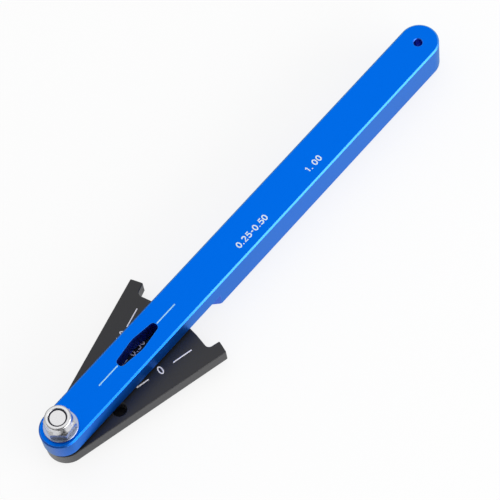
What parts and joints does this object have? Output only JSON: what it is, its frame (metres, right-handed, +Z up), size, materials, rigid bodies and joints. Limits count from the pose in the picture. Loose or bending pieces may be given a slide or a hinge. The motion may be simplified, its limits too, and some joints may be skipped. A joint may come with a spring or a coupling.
{
  "type": "chain wear gauge",
  "caption": "Hand gauge for bicycle chain wear: a bar with a swinging fan-shaped index plate under it, read through a window.",
  "frame": {"origin": "middle of the part's bounding box in plan, at its lowest point, the bottom of the pivot bolt's head", "axes": "+X along the bar from the pivot to the far end with the lanyard hole, +Y across the bar to the side where the bay is shortest, +Z up from the index plate to the lock nut"},
  "size_m": [0.135, 0.0292, 0.0165],
  "materials": {
    "blue_anodised": "blue anodised, satin",
    "black_anodised": "black anodised, bead blasted",
    "stainless_steel": "turned stainless steel",
    "dark_nylon": "moulded"
  },
  "bodies": {
    "handle": {"bar": "blue_anodised", "pivot_bolt": "stainless_steel", "washer": "stainless_steel", "spacer_washer": "dark_nylon", "lock_nut": "stainless_steel", "nut_insert": "dark_nylon"},
    "plate": {"index_plate": "black_anodised"}
  },
  "joints": [
    {"name": "plate_swing", "type": "hinge", "parent": "handle", "child": "plate", "pos_m": [-0.0623, 0, 0.00315], "axis": [0, 0, 1], "range_deg": [-9, 19]}
  ]
}
